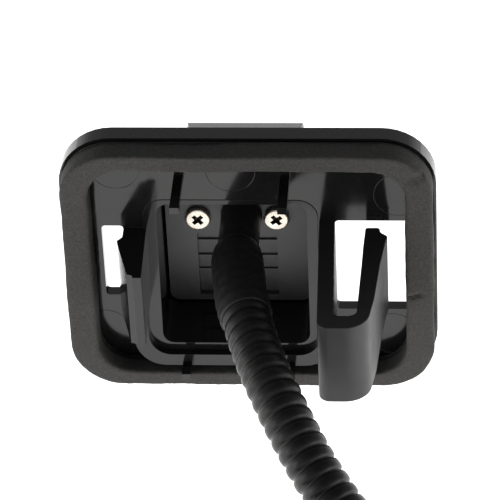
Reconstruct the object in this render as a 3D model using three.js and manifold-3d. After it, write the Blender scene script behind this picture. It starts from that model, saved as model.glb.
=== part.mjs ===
// Rear-view (backup) camera in a snap-in bezel, with its corrugated pigtail.
// Millimetres, +Z up. The mounting side (gasket, hook, spring clip, cable) faces -Y, the lens faces +Y.
// The origin is the middle of the body's footprint, at the height of the bezel's lower edge.
//
// Inside the camera group, "reach" is a distance from the back face of the bezel's plate:
// positive reach is towards the vehicle (-Y), negative reach is towards the lens side (+Y).

import * as THREE from "three";
import { mergeVertices } from "three/addons/utils/BufferGeometryUtils.js";
import Module from "manifold-3d";

const wasm = await Module();
wasm.setup();

// ---------------------------------------------------------------- driving dimensions

const GAP = 0.3;                                   // between separate pieces that touch

const BEZEL = { width: 75.6, height: 58.2, radius: 11, plate: 2.6, depth: 3.9, border: 2.2 };
const WINDOW_RIGHT = { left: 17.4, right: 32.2, bottom: 16.2, top: 38.3, radius: 0.6 };
const WINDOW_LEFT = { left: -29.9, right: -25.5, bottom: 19.5, top: 36.8, radius: 0.6 };
const POCKET = { left: -18.6, right: 11.7, bottom: 8.7, top: 42.3, radius: 2.4, depth: 22.5, wall: 1.7 };
const COLLAR = { left: -21.4, right: 14.0, bottom: 7.1, top: 43.3, radius: 4.2, low: 2.04, high: 0.15 };
const FRAME = { left: -24.4, right: 17.0, bottom: 4.6, top: 40.0, radius: 6.4, low: 4.3, high: -0.4 };
const FRAME_STEP = { radius: 4.6, drop: 2.0 };
const TURRET = {
  left: -14.6, right: 9.8, bottom: 7.4, top: 43.3, radius: 2.6, reach: -30.0, wall: 1.8, hood: 31.5,
};
const HOOD_SLOPE = { start: -24.5, drop: 1.6 };      // the hood's roof falls away towards its lip

const RIB = { width: 1.9, height: 1.5, left: -13.6, right: 7.7 };
const RIB_TOP = { z: 49.5, reach: 11.6 };
const RIB_LOW = { z: 5.5, reach: 8.5 };

const HOOK = { bottom: 19.3, top: 36.4 };
const CLIP = {
  bottom: 19.9, top: 38.1, reach: 35.3, left: 14.2, right: 24.6, leg: 3.2, bend: 4.1, split: 29.4, lean: 1.1,
};

const GASKET = { inset: 0.6, thickness: 6.0, inner: 31.6, bottom: 3.9, top: 54.0, radius: 7.0 };
const ADHESIVE = 0.2;

const LENS = { x: -2.4, z: 19.6 };
const COVER = { left: -18.2, right: 11.3, bottom: 9.1, top: 41.9, radius: 2.0, face: -12.3, thickness: 1.8 };
const COVER_RECESS = {
  left: -11.9, right: 4.6, bottom: 10.5, top: 26.4, depth: 0.9, slot: 13.0, slotDepth: 1.4,
};
const SCREW = { left: -11.5, right: 4.7, z: 30.4, head: 5.0, headHeight: 1.5, shank: 2.5, length: 6.2 };
const BODY = {
  left: -18.1, right: 11.2, bottom: 9.2, top: 41.8, radius: 1.9, rear: -15.2, front: -22.2, wall: 1.5,
};
const BOOT = { x: -2.5, z: 31.0, diameter: 8.3, end: 0.5 };

const CONDUIT = 10.0;                              // outside diameter of the corrugated tube
const SLEEVE = 10.8;                               // outside diameter of the shrink sleeve over its start
const COIL = { x: 9.0, reach: 127.0, radius: 50.0, height: 20.0 };
const PLUG = { length: 24.0, width: 18.0, height: 12.0, wall: 1.4, neck: 12.0 };

const CENTRE_Y = (CLIP.reach + TURRET.reach) / 2;  // puts the origin in the middle of the footprint

// ---------------------------------------------------------------- materials

const finish = (color, roughness, metalness) => new THREE.MeshStandardMaterial({ color, roughness, metalness });
const plastic = (color, roughness) => finish(color, roughness, 0);
const metal = (color, roughness = 0.3) => finish(color, roughness, 1);

const GLOSS_BLACK = 0x0b0b0c;
const SATIN_BLACK = 0x161617;
const FOAM_GREY = 0x3b3938;
const NICKEL = 0xd6cfc4;
const BOARD_GREEN = 0x0f4a2a;
const GLASS = 0x1c2630;

// ---------------------------------------------------------------- shape helpers

function roundedRect(left, bottom, right, top, radius, steps = 6) {
  const shape = new THREE.Shape();
  const corners = [
    [right - radius, bottom + radius, -Math.PI / 2],
    [right - radius, top - radius, 0],
    [left + radius, top - radius, Math.PI / 2],
    [left + radius, bottom + radius, Math.PI],
  ];
  const points = [];
  for (const [cx, cy, start] of corners) {
    for (let i = 0; i <= steps; i++) {
      const angle = start + (i / steps) * (Math.PI / 2);
      points.push(new THREE.Vector2(cx + radius * Math.cos(angle), cy + radius * Math.sin(angle)));
    }
  }
  shape.setFromPoints(points);
  return shape;
}

function rectOf(box, steps) {
  return roundedRect(box.left, box.bottom, box.right, box.top, box.radius, steps);
}

function bezelOutline(inset = 0, steps = 10) {
  const half = BEZEL.width / 2 - inset;
  return roundedRect(-half, inset, half, BEZEL.height - inset, BEZEL.radius - inset, steps);
}

// A slab whose outline is seen from behind (x, z) and which runs from one reach to another.
function slab(shape, from, to) {
  const geometry = new THREE.ExtrudeGeometry(shape, { depth: to - from, bevelEnabled: false });
  geometry.translate(0, 0, from);
  geometry.rotateX(Math.PI / 2);
  return geometry;
}

// An upright prism whose outline is seen from above as [x, reach] points.
function upright(points, bottom, top) {
  const shape = new THREE.Shape(points.map(([x, reach]) => new THREE.Vector2(x, -reach)));
  const geometry = new THREE.ExtrudeGeometry(shape, { depth: top - bottom, bevelEnabled: false });
  geometry.translate(0, 0, bottom);
  return geometry;
}

// A prism across the part whose outline is seen from the side as [reach, z] points.
function crosswise(points, left, right) {
  const shape = new THREE.Shape(points.map(([reach, z]) => new THREE.Vector2(-reach, z)));
  const geometry = new THREE.ExtrudeGeometry(shape, { depth: right - left, bevelEnabled: false });
  geometry.rotateX(Math.PI / 2);
  geometry.rotateZ(Math.PI / 2);
  geometry.translate(left, 0, 0);
  return geometry;
}

function block(left, right, bottom, top, from, to) {
  const geometry = new THREE.BoxGeometry(right - left, to - from, top - bottom);
  geometry.translate((left + right) / 2, -(from + to) / 2, (bottom + top) / 2);
  return geometry;
}

// A round bar along the reach direction.
function rod(x, z, diameter, from, to, sides = 24, endDiameter = diameter) {
  const geometry = new THREE.CylinderGeometry(diameter / 2, endDiameter / 2, to - from, sides);
  geometry.translate(x, -(from + to) / 2, z);
  return geometry;
}

// A turned piece: profile points are [radius, reach], closed on themselves or on the axis.
function turned(x, z, profile, sides = 32) {
  const points = profile.map(([radius, reach]) => new THREE.Vector2(radius, -reach));
  if (THREE.ShapeUtils.area(points) < 0) points.reverse();
  const geometry = new THREE.LatheGeometry(points, sides);
  geometry.translate(x, 0, z);
  return geometry;
}

function ringProfile(inner, outer, from, to) {
  return [[inner, to], [outer, to], [outer, from], [inner, from], [inner, to]];
}

function arc(cx, cy, radius, startDegrees, endDegrees, steps) {
  const points = [];
  for (let i = 0; i <= steps; i++) {
    const angle = THREE.MathUtils.degToRad(startDegrees + ((endDegrees - startDegrees) * i) / steps);
    points.push([cx + radius * Math.cos(angle), cy + radius * Math.sin(angle)]);
  }
  return points;
}

// ---------------------------------------------------------------- joining and cutting

function toSolid(geometry) {
  const bare = geometry.clone();
  bare.deleteAttribute("normal");
  bare.deleteAttribute("uv");
  const merged = mergeVertices(bare, 1e-4);
  const vertProperties = new Float32Array(merged.attributes.position.array);
  const solid = new wasm.Manifold(new wasm.Mesh({
    numProp: 3,
    vertProperties,
    triVerts: new Uint32Array(merged.index.array),
  }));
  return solid.volume() < 0 ? solid.mirror([0, 0, 0]) : solid;
}

function toGeometry(solid) {
  const mesh = solid.getMesh();
  const geometry = new THREE.BufferGeometry();
  geometry.setAttribute("position", new THREE.BufferAttribute(new Float32Array(mesh.vertProperties), 3));
  geometry.setIndex(new THREE.BufferAttribute(new Uint32Array(mesh.triVerts), 1));
  return geometry;
}

function join(geometries) {
  return geometries.map(toSolid).reduce((sum, solid) => sum.add(solid));
}

function cut(solid, geometries) {
  return geometries.map(toSolid).reduce((rest, tool) => rest.subtract(tool), solid);
}

// ---------------------------------------------------------------- scene graph

const model = new THREE.Group();
const camera = new THREE.Group();
camera.position.y = CENTRE_Y;
model.add(camera);

function addPiece(name, shape, material) {
  const geometry = shape.isBufferGeometry ? shape : toGeometry(shape);
  const mesh = new THREE.Mesh(geometry, material);
  mesh.name = name;
  camera.add(mesh);
  return mesh;
}

// ---------------------------------------------------------------- bezel

// A raised lip whose face leans: "high" is its reach at the top edge, "low" at the bottom edge.
function leaningSlab(box, steps) {
  const geometry = slab(rectOf(box, steps), -1, 1);
  const position = geometry.attributes.position;
  for (let i = 0; i < position.count; i++) {
    if (position.getY(i) < 0) {
      const share = (box.top - position.getZ(i)) / (box.top - box.bottom);
      position.setY(i, -(box.high + (box.low - box.high) * share));
    }
  }
  return geometry;
}

function makeHook() {
  const outline = [
    [-20.8, -1], [-20.4, 17.1], [-22.1, 17.1], [-22.3, 16.3], [-23.4, 15.9], [-25.7, 7.5],
    [-26.4, 4.6], [-25.4, 3.3], [-25.4, -1],
  ];
  return upright(outline, HOOK.bottom, HOOK.top);
}

function makeRibs() {
  const half = RIB.width / 2;
  return [RIB.left, RIB.right].flatMap((x) => [
    block(x - half, x + half, RIB_TOP.z - RIB.height, RIB_TOP.z, -1, RIB_TOP.reach),
    block(x - half, x + half, RIB_LOW.z - RIB.height, RIB_LOW.z, -1, RIB_LOW.reach),
  ]);
}

function makeBezel() {
  const nose = {
    left: POCKET.left - POCKET.wall,
    right: POCKET.right + POCKET.wall,
    bottom: POCKET.bottom - POCKET.wall,
    top: POCKET.top + POCKET.wall,
    radius: POCKET.radius + POCKET.wall,
  };
  const frameStep = { ...COLLAR, low: FRAME.low + FRAME_STEP.drop, high: FRAME.high + FRAME_STEP.drop,
    radius: FRAME_STEP.radius };
  const noseFront = -POCKET.depth - POCKET.wall;

  const frame = cut(toSolid(leaningSlab(FRAME, 8)), [slab(rectOf(frameStep, 8), 0, 9)]);
  const shell = join([
    slab(bezelOutline(), -BEZEL.depth, 0),
    leaningSlab(COLLAR, 8),
    slab(rectOf(nose), noseFront, -1),
    slab(rectOf(TURRET), TURRET.reach, noseFront + 1),
    makeHook(),
    ...makeRibs(),
  ]).add(frame);

  const seatRight = CLIP.left + CLIP.leg + GAP;
  const clipSeat = block(CLIP.left - GAP, seatRight, CLIP.bottom - GAP, CLIP.top + GAP, 0, 9);
  const hoodPast = TURRET.reach - 1;
  const dropPast = (HOOD_SLOPE.drop * (hoodPast - HOOD_SLOPE.start)) / (TURRET.reach - HOOD_SLOPE.start);
  const roofCut = crosswise([
    [HOOD_SLOPE.start, TURRET.top], [hoodPast, TURRET.top - dropPast], [hoodPast, TURRET.top + 1],
    [HOOD_SLOPE.start, TURRET.top + 1],
  ], TURRET.left - 1, TURRET.right + 1);
  const visor = block(TURRET.left + TURRET.wall, TURRET.right - TURRET.wall,
    TURRET.bottom - 1, TURRET.hood, TURRET.reach - 1, TURRET.reach + 3.2);
  const tray = cut(toSolid(slab(bezelOutline(BEZEL.border), -BEZEL.depth - 1, -BEZEL.plate)),
    [slab(rectOf(nose), -BEZEL.depth - 2, 0)]);
  const hollowed = cut(shell, [
    slab(rectOf(POCKET, 6), -POCKET.depth, 9),
    slab(rectOf(WINDOW_RIGHT, 2), -9, 1),
    slab(rectOf(WINDOW_LEFT, 2), -9, 1),
    visor,
    roofCut,
    clipSeat,
    rod(LENS.x, LENS.z, 19.2, TURRET.reach - 1, -POCKET.depth + 1, 32),
  ]);
  return hollowed.subtract(tray);
}

addPiece("bezel", makeBezel(), plastic(GLOSS_BLACK, 0.12));

// ---------------------------------------------------------------- spring clip

const clipInnerReach = CLIP.reach - CLIP.bend;

// The clip leans a little to the right as it reaches out.
function lean(points) {
  return points.map(([x, reach]) => [x + (CLIP.lean * reach) / CLIP.reach, reach]);
}

// Fixed leg and bend, up to the line where the free leg starts to flex.
const clipInnerLeft = CLIP.left + CLIP.leg;
const fixedLeg = lean([
  [CLIP.left, GAP],
  ...arc(CLIP.left + 2.2, CLIP.reach - 2.2, 2.2, 180, 90, 4),
  ...arc(CLIP.right - 5.4, CLIP.reach - 5.4, 5.4, 90, 8, 6),
  [24.75, CLIP.split],
  [22.0, CLIP.split],
  ...arc(20.3, clipInnerReach - 1.9, 1.9, 20, 90, 3),
  ...arc(clipInnerLeft + 1.2, clipInnerReach - 1.2, 1.2, 90, 180, 3),
  [clipInnerLeft, GAP],
]);
addPiece("clip_fixed_leg", upright(fixedLeg, CLIP.bottom, CLIP.top), plastic(GLOSS_BLACK, 0.12));

const springLeg = lean([
  [22.0, CLIP.split - GAP], [24.8, CLIP.split - GAP], [25.4, 25.6], [26.5, 14.2], [27.4, 7.6],
  [27.9, 4.9], [26.7, 3.7], [26.4, 2.0], [23.5, 2.0], [22.8, 14.2],
]);
addPiece("clip_spring_leg", upright(springLeg, CLIP.bottom, CLIP.top), plastic(GLOSS_BLACK, 0.12));

// ---------------------------------------------------------------- foam gasket

function gasketShape() {
  const shape = bezelOutline(GASKET.inset, 8);
  const inner = roundedRect(-GASKET.inner, GASKET.bottom, GASKET.inner, GASKET.top, GASKET.radius, 6);
  shape.holes.push(new THREE.Path(inner.getPoints().reverse()));
  return shape;
}

const foamStart = 2 * GAP + ADHESIVE;
addPiece("gasket_adhesive", slab(gasketShape(), GAP, GAP + ADHESIVE), plastic(0x1c1a19, 0.7));
addPiece("foam_gasket", slab(gasketShape(), foamStart, GASKET.thickness), plastic(FOAM_GREY, 0.95));

// ---------------------------------------------------------------- camera body and lens

function makeBody() {
  const inner = {
    left: BODY.left + BODY.wall, right: BODY.right - BODY.wall,
    bottom: BODY.bottom + BODY.wall, top: BODY.top - BODY.wall, radius: 1,
  };
  const shell = cut(toSolid(slab(rectOf(BODY), BODY.front, BODY.rear)),
    [slab(rectOf(inner), BODY.front + BODY.wall, BODY.rear + 1)]);
  const bosses = [SCREW.left, SCREW.right].map((x) => rod(x, SCREW.z, 4.8, BODY.front + 1, BODY.rear, 20));
  const snout = rod(LENS.x, LENS.z, 18.4, -27.6, BODY.front + 1, 32);
  const solid = [...bosses, snout].map(toSolid).reduce((sum, piece) => sum.add(piece), shell);
  return cut(solid, [
    rod(LENS.x, LENS.z, 14.6, -29, BODY.front + 3, 32),
    ...[SCREW.left, SCREW.right].map((x) => rod(x, SCREW.z, 3.0, -20.2, BODY.rear + 1, 16)),
  ]);
}

addPiece("camera_body", makeBody(), plastic(SATIN_BLACK, 0.5));

addPiece("lens_barrel", turned(LENS.x, LENS.z, [
  [5.3, -28.2], [6.6, -28.2], [6.6, -27.9], [7.0, -27.9], [7.0, -20.6], [4.2, -20.6], [4.2, -21.6],
  [5.3, -21.6], [5.3, -28.2],
]), plastic(SATIN_BLACK, 0.45));

addPiece("front_lens", turned(LENS.x, LENS.z, [
  [0, -29.4], [2.0, -29.15], [3.6, -28.4], [4.7, -27.3], [4.95, -26.4], [4.95, -25.6], [3.2, -25.9],
  [0, -26.6],
], 32), plastic(GLASS, 0.02));
const lensRing = (inner, outer, from, to) => turned(LENS.x, LENS.z, ringProfile(inner, outer, from, to));
addPiece("lens_retainer", lensRing(5.35, 8.4, -29.0, -28.5), metal(0x2a2a2c, 0.4));
addPiece("lens_seal_ring", lensRing(7.35, 8.9, -28.2, -27.9), plastic(0x101010, 0.8));
addPiece("lens_spacer", lensRing(4.0, 5.0, -25.2, -24.3), plastic(SATIN_BLACK, 0.6));
addPiece("rear_lens", turned(LENS.x, LENS.z, [
  [0, -24.6], [2.4, -24.2], [3.6, -23.6], [4.9, -23.4], [4.9, -22.4], [2.6, -22.2], [0, -22.0],
], 32), plastic(GLASS, 0.02));
addPiece("ir_filter", rod(LENS.x, LENS.z, 7.6, -21.4, -20.8, 24), plastic(0x6a2f3a, 0.05));

// ---------------------------------------------------------------- electronics

addPiece("image_sensor", block(LENS.x - 3.6, LENS.x + 3.6, LENS.z - 3.6, LENS.z + 3.6, -19.9, -18.9),
  plastic(0x2f3036, 0.2));
const sensorBoard = roundedRect(LENS.x - 8, 11.8, LENS.x + 8, 27.4, 1, 3);
const videoBoard = roundedRect(-15.9, 11.2, 9.0, 27.4, 1, 3);
addPiece("sensor_board", slab(sensorBoard, -18.6, -17.6), plastic(BOARD_GREEN, 0.4));
addPiece("board_spacer", block(LENS.x - 6, LENS.x + 6, 12.4, 14.2, -17.3, -16.9), plastic(0x202020, 0.5));
addPiece("video_board", slab(videoBoard, -16.6, -15.6), plastic(BOARD_GREEN, 0.4));
addPiece("cable_header", block(-13.5, -6.5, 21.0, 25.0, -15.3, -14.4), plastic(0xe6e0d0, 0.5));

// ---------------------------------------------------------------- rear cover, screws and cable boot

function makeCover() {
  const plate = toSolid(slab(rectOf(COVER), COVER.face - COVER.thickness, COVER.face));
  const recess = { ...COVER_RECESS, radius: 0.4 };
  const floor = COVER.face - COVER_RECESS.depth;
  const bars = [23.8, 19.9, 16.4].map((z) => (
    block(recess.left, recess.right, z, z + 0.5, floor - 0.2, floor + 0.5)
  ));
  const counterbores = [SCREW.left, SCREW.right].flatMap((x) => [
    rod(x, SCREW.z, SCREW.head + 2 * GAP, COVER.face - 0.5, COVER.face + 1, 24),
    rod(x, SCREW.z, 3.1, COVER.face - 3, COVER.face + 1, 16),
  ]);
  const bootHole = rod(BOOT.x, BOOT.z, 6.6, COVER.face - 3, COVER.face + 1, 24);
  const slot = block(recess.left, recess.right, recess.bottom, recess.slot,
    COVER.face - recess.slotDepth, COVER.face + 1);
  const body = cut(plate, [slab(rectOf(recess, 2), floor, COVER.face + 1), slot, ...counterbores, bootHole]);
  return bars.map(toSolid).reduce((sum, bar) => sum.add(bar), body);
}

addPiece("rear_cover", makeCover(), plastic(GLOSS_BLACK, 0.2));

const sealInset = 1.0;
function coverSealShape() {
  const outer = roundedRect(COVER.left + sealInset, COVER.bottom + sealInset, COVER.right - sealInset,
    COVER.top - sealInset, 1.4, 4);
  const hole = roundedRect(COVER.left + 2.2, COVER.bottom + 2.2, COVER.right - 2.2, COVER.top - 2.2, 1, 3);
  outer.holes.push(new THREE.Path(hole.getPoints().reverse()));
  return outer;
}
addPiece("cover_seal", slab(coverSealShape(), BODY.rear + GAP, COVER.face - COVER.thickness - GAP),
  plastic(0x7a2a20, 0.8));

function makeScrew(x) {
  const radius = SCREW.head / 2;
  const seat = COVER.face - 0.5 + GAP;
  const crown = seat + SCREW.headHeight;
  const body = turned(x, SCREW.z, [
    [0, crown], [2.1, crown - 0.1], [radius, crown - 0.5], [radius, seat],
    [SCREW.shank / 2, seat], [SCREW.shank / 2, seat - SCREW.length + 0.8],
    [0.5, seat - SCREW.length], [0, seat - SCREW.length],
  ], 24);
  const slots = [Math.PI / 4, -Math.PI / 4].map((turn) => {
    const slot = new THREE.BoxGeometry(2.9, 1.6, 0.75);
    slot.rotateY(turn);
    slot.translate(x, -crown, SCREW.z);
    return slot;
  });
  return cut(toSolid(body), slots);
}

addPiece("cover_screw_left", makeScrew(SCREW.left), metal(NICKEL));
addPiece("cover_screw_right", makeScrew(SCREW.right), metal(NICKEL));

// The boot stands on the cover and stops at the conduit; a thin neck passes through the cover.
const bootRadius = BOOT.diameter / 2;
addPiece("cable_boot", turned(BOOT.x, BOOT.z, [
  [0, BOOT.end], [bootRadius - 0.6, BOOT.end], [bootRadius, BOOT.end - 0.8], [bootRadius, -9.0],
  [bootRadius + 0.15, COVER.face + GAP], [3.0, COVER.face + GAP], [3.0, -13.9], [0, -13.9],
], 28), plastic(SATIN_BLACK, 0.5));

// ---------------------------------------------------------------- pigtail

// Centreline of the pigtail from the boot to the coil, as [x, reach, z].
const LEAD = [
  [-2.5, 0.8, 31.0], [-2.2, 5.0, 31.0], [-1.5, 10.5, 31.0], [-0.6, 17.0, 31.0], [0.9, 23.5, 30.8],
  [2.7, 30.0, 30.0], [5.0, 36.5, 28.5], [8.0, 43.0, 26.0], [11.6, 49.5, 22.6], [16.0, 56.0, 18.4],
  [21.5, 62.5, 13.9], [28.0, 69.0, 10.1], [34.8, 76.0, 7.2], [41.5, 84.0, 5.6], [47.0, 92.5, 5.2],
  [51.8, 101.3, 5.2],
];
const SLEEVE_POINTS = 5;                           // the sleeve covers the route up to this point

// Centreline of the tail: off the top of the coil, down to the floor beside it and on to the plug.
const TAIL_REACH = COIL.reach + COIL.radius;
const TAIL = [
  [7, TAIL_REACH, 15.4], [-1, TAIL_REACH, 15.3], [-11, TAIL_REACH, 14.6], [-21, TAIL_REACH, 12.3],
  [-31, TAIL_REACH, 9.3], [-41, TAIL_REACH, 7.2], [-49, TAIL_REACH, 6.4], [-54, TAIL_REACH, 6.3],
];

function along(points) {
  const path = points.map(([x, reach, z]) => new THREE.Vector3(x, -reach, z));
  return new THREE.CatmullRomCurve3(path, false, "centripetal");
}

function tube(curve, diameter, sides, steps) {
  const outline = arc(0, 0, diameter / 2, 0, 360, sides).slice(0, sides);
  const section = new THREE.Shape(outline.map(([x, y]) => new THREE.Vector2(x, y)));
  return new THREE.ExtrudeGeometry(section, { steps, extrudePath: curve, bevelEnabled: false });
}

// The part of a curve between two shares of its length.
class Stretch extends THREE.Curve {
  constructor(curve, from, to) {
    super();
    Object.assign(this, { curve, from, to });
  }

  getPoint(t, target = new THREE.Vector3()) {
    return target.copy(this.curve.getPointAt(this.from + (this.to - this.from) * t));
  }
}

const leadCurve = along(LEAD);
const leadLength = leadCurve.getLength();
const sleeveShare = along(LEAD.slice(0, SLEEVE_POINTS)).getLength() / leadLength;
const gapShare = GAP / leadLength;
addPiece("conduit_sleeve", tube(new Stretch(leadCurve, 0, sleeveShare), SLEEVE, 16, 5),
  plastic(SATIN_BLACK, 0.45));
addPiece("pigtail_conduit", tube(new Stretch(leadCurve, sleeveShare + gapShare, 1), CONDUIT, 12, 26),
  plastic(SATIN_BLACK, 0.4));

const coilHalf = CONDUIT / 2;
const coilProfile = [
  [COIL.radius - coilHalf, 1.6], [COIL.radius - coilHalf + 1.6, 0.05], [COIL.radius + coilHalf - 1.6, 0.05],
  [COIL.radius + coilHalf, 1.6], [COIL.radius + coilHalf, COIL.height - 1.6],
  [COIL.radius + coilHalf - 1.6, COIL.height], [COIL.radius - coilHalf + 1.6, COIL.height],
  [COIL.radius - coilHalf, COIL.height - 1.6], [COIL.radius - coilHalf, 1.6],
];
const coil = new THREE.LatheGeometry(coilProfile.map(([r, z]) => new THREE.Vector2(r, z)), 48);
coil.rotateX(Math.PI / 2);
coil.translate(COIL.x, -COIL.reach, 0);
const tailCurve = along(TAIL);
const channel = CONDUIT + 3 * GAP;
addPiece("pigtail_coil", cut(toSolid(coil), [
  tube(new Stretch(leadCurve, 0.6, 1), channel, 12, 14),
  tube(new Stretch(tailCurve, 0, 0.7), channel, 12, 10),
]), plastic(SATIN_BLACK, 0.4));

// The tie is a strap round both turns, on the right of the coil.
const tieSlack = 0.4;
const tieInner = coilHalf + tieSlack;
const tieThickness = 1.0;
const tieHalfWidth = 2.4;
const tieOuter = tieInner + tieThickness;
const tieTop = COIL.height + tieSlack;
const tieOutline = roundedRect(
  COIL.radius - tieOuter, 0.05, COIL.radius + tieOuter, tieTop + tieThickness, 1.2, 3,
);
const tieHole = roundedRect(COIL.radius - tieInner, -2, COIL.radius + tieInner, tieTop, 0.8, 3);
const tie = cut(toSolid(slab(tieOutline, -tieHalfWidth, tieHalfWidth)), [slab(tieHole, -3, 3)]);
const tieGeometry = toGeometry(tie);
tieGeometry.translate(COIL.x, -COIL.reach, 0);
addPiece("coil_tie", tieGeometry, plastic(0x1a1a1a, 0.5));

addPiece("pigtail_tail", tube(tailCurve, CONDUIT, 12, 14), plastic(SATIN_BLACK, 0.4));

// ---------------------------------------------------------------- plug on the pigtail

// The plug is modelled along its own +X axis from the end of the tail, then turned to lie in line.
const [tailX, tailReach, tailZ] = TAIL[TAIL.length - 1];
const plugGroup = new THREE.Group();
plugGroup.position.set(tailX, -tailReach, 0);
plugGroup.rotation.z = Math.PI;
camera.add(plugGroup);

function addPlugPiece(name, shape, material) {
  const geometry = shape.isBufferGeometry ? shape : toGeometry(shape);
  const mesh = new THREE.Mesh(geometry, material);
  mesh.name = name;
  plugGroup.add(mesh);
}

function box(x0, x1, y0, y1, z0, z1) {
  const geometry = new THREE.BoxGeometry(x1 - x0, y1 - y0, z1 - z0);
  geometry.translate((x0 + x1) / 2, (y0 + y1) / 2, (z0 + z1) / 2);
  return geometry;
}

const neck = new THREE.LatheGeometry([
  [0, GAP], [6.0, GAP], [6.2, 3], [5.2, PLUG.neck], [0, PLUG.neck],
].map(([r, x]) => new THREE.Vector2(r, x)), 20);
neck.rotateZ(-Math.PI / 2);
neck.translate(0, 0, tailZ);
addPlugPiece("plug_boot", neck, plastic(0x141414, 0.6));

const plugStart = PLUG.neck + GAP;
const plugEnd = plugStart + PLUG.length;
const halfPlug = PLUG.width / 2;
const plugTop = tailZ - 6.2 + PLUG.height;
const plugBottom = 0.1;
const cavity = box(plugStart + 9, plugEnd + 1, -halfPlug + PLUG.wall, halfPlug - PLUG.wall,
  plugBottom + PLUG.wall, plugTop - PLUG.wall);
const plugBlock = box(plugStart, plugEnd, -halfPlug, halfPlug, plugBottom, plugTop);
addPlugPiece("plug_housing", cut(toSolid(plugBlock), [cavity]), plastic(0x1b1b1c, 0.5));
addPlugPiece("plug_lock", box(plugStart + 9.3, plugStart + 11.3, -halfPlug + PLUG.wall + GAP,
  halfPlug - PLUG.wall - GAP, plugBottom + PLUG.wall + GAP, 3.4), plastic(0xd9d9d6, 0.5));

const terminalRows = [-4.5, -1.5, 1.5, 4.5];
terminalRows.forEach((y, index) => addPlugPiece(`plug_terminal_${index + 1}`,
  box(plugStart + 9 + GAP, plugEnd - 4, y - 0.5, y + 0.5, 5.6, 6.4), metal(0xc9a24a, 0.3)));

const armBottom = plugTop + 1.7;
const latchShape = new THREE.Shape([
  [plugStart + 6, plugTop + GAP], [plugStart + 7.6, plugTop + GAP], [plugStart + 8.6, armBottom],
  [plugEnd - 5, armBottom], [plugEnd - 3.6, armBottom - 0.4], [plugEnd - 2.6, armBottom + 0.1],
  [plugEnd - 2.6, armBottom + 1.2], [plugStart + 7, armBottom + 1.2], [plugStart + 6, armBottom + 0.5],
].map(([x, z]) => new THREE.Vector2(x, z)));
const latch = new THREE.ExtrudeGeometry(latchShape, { depth: 6, bevelEnabled: false });
latch.rotateX(Math.PI / 2);
latch.translate(0, 3, 0);
addPlugPiece("plug_latch", latch, plastic(0x1b1b1c, 0.5));

export default model;
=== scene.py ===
"""Looks for a snap-in rear-view camera: glossy bezel, foam gasket, spring clip and ribbed pigtail.

The row frame is in metres: +Z up, the mounting side faces -Y and the lens side faces +Y.
"Reach" is the distance from the back face of the bezel's plate towards -Y, as in the CAD source.
"""

import math

import bmesh
import bpy
from mathutils import Matrix, Vector, noise


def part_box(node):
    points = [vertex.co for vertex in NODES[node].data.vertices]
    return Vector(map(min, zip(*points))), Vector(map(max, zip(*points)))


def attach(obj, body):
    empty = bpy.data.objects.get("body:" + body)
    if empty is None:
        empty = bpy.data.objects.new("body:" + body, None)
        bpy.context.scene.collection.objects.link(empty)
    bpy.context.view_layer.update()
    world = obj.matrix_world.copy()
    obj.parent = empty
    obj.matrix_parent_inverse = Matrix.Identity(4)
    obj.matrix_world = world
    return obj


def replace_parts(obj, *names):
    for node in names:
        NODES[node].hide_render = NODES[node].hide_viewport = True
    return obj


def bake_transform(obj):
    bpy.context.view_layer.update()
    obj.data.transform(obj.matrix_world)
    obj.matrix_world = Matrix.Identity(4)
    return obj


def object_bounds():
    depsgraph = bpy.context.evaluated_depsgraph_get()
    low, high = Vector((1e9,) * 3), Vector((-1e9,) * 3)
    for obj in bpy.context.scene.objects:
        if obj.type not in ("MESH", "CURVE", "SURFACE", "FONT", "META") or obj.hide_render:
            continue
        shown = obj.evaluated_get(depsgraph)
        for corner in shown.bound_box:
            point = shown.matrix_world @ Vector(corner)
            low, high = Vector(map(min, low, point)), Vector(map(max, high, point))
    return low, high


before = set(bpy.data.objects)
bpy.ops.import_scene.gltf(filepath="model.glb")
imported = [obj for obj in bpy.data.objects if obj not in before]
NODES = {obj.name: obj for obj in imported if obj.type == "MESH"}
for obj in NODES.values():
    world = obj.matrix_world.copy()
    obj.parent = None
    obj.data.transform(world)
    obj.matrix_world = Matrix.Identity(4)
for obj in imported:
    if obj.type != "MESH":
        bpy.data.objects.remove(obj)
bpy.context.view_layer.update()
MM = 0.001
PLATE_Y = 2.65 * MM  # where reach is 0


def place(x, reach, z):
    """A point given in millimetres as x, reach and height."""
    return Vector((x * MM, PLATE_Y - reach * MM, z * MM))


# ------------------------------------------------------------------ camera


def make_camera():
    target = place(0.0, 0.0, 30.9)
    distance = 0.70
    azimuth, elevation, roll = math.radians(5.2), math.radians(36.0), math.radians(-2.8)
    back = Vector((
        math.sin(azimuth) * math.cos(elevation),
        -math.cos(azimuth) * math.cos(elevation),
        math.sin(elevation),
    ))
    data = bpy.data.cameras.new("photo_camera")
    data.lens = 249.0
    data.sensor_width = 36.0
    data.clip_start = 0.05
    camera = bpy.data.objects.new("photo_camera", data)
    turn = back.to_track_quat("Z", "Y").to_matrix() @ Matrix.Rotation(roll, 3, "Z")
    camera.matrix_world = Matrix.Translation(target + back * distance) @ turn.to_4x4()
    bpy.context.scene.collection.objects.link(camera)
    bpy.context.scene.camera = camera


make_camera()

# ------------------------------------------------------------------ materials


def fill_ramp(ramp, stops):
    """Gives the ramp its stops: (position, a grey value or a colour)."""
    elements = ramp.elements
    while len(elements) < len(stops):
        elements.new(0.5)
    for element, (position, value) in zip(elements, stops):
        element.position = position
        element.color = (*value, 1) if hasattr(value, "__len__") else (value, value, value, 1)


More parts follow.
